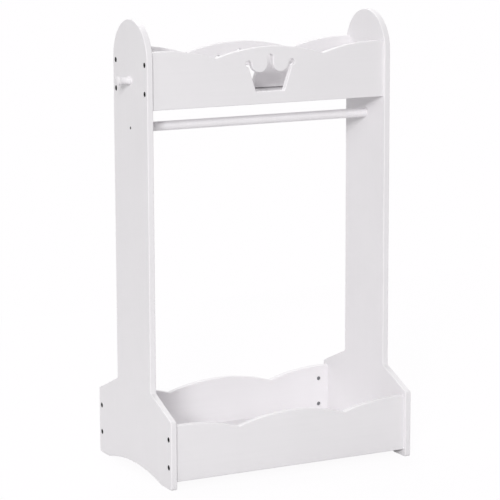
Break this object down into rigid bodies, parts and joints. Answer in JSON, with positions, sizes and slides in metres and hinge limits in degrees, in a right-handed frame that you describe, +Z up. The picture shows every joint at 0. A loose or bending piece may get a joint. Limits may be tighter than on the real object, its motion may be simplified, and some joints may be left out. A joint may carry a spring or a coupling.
{
  "type": "kids clothing rack",
  "caption": "Free-standing child's clothes rack in white painted board: scalloped top bin with crown cut-outs, hanging rod, side pegs and a shallow base tray.",
  "frame": {"origin": "on the floor, under the middle of the rack", "axes": "+Z up, the front faces -Y, and +X is on the right of a viewer who faces the front"},
  "size_m": [0.711, 0.4, 1.065],
  "materials": {
    "painted_board": "satin white paint",
    "painted_turned_wood": "satin white paint",
    "black_steel": "black oxide",
    "zinc_steel": "zinc plated",
    "plain_beech": "unfinished"
  },
  "bodies": {
    "root": {"left_side_panel": "painted_board", "right_side_panel": "painted_board", "top_shelf": "painted_board", "base_floor": "painted_board", "top_front_panel": "painted_board", "top_back_panel": "painted_board", "base_front_panel": "painted_board", "base_back_panel": "painted_board", "hanging_rod": "painted_turned_wood", "left_peg": "painted_turned_wood", "right_peg": "painted_turned_wood", "top_front_bolts": "black_steel", "top_back_bolts": "black_steel", "base_front_bolts": "black_steel", "base_back_bolts": "black_steel", "top_front_barrel_nuts": "zinc_steel", "top_back_barrel_nuts": "zinc_steel", "base_front_barrel_nuts": "zinc_steel", "base_back_barrel_nuts": "zinc_steel", "rod_screws": "black_steel", "shelf_dowels": "plain_beech", "floor_dowels": "plain_beech"}
  },
  "joints": []
}
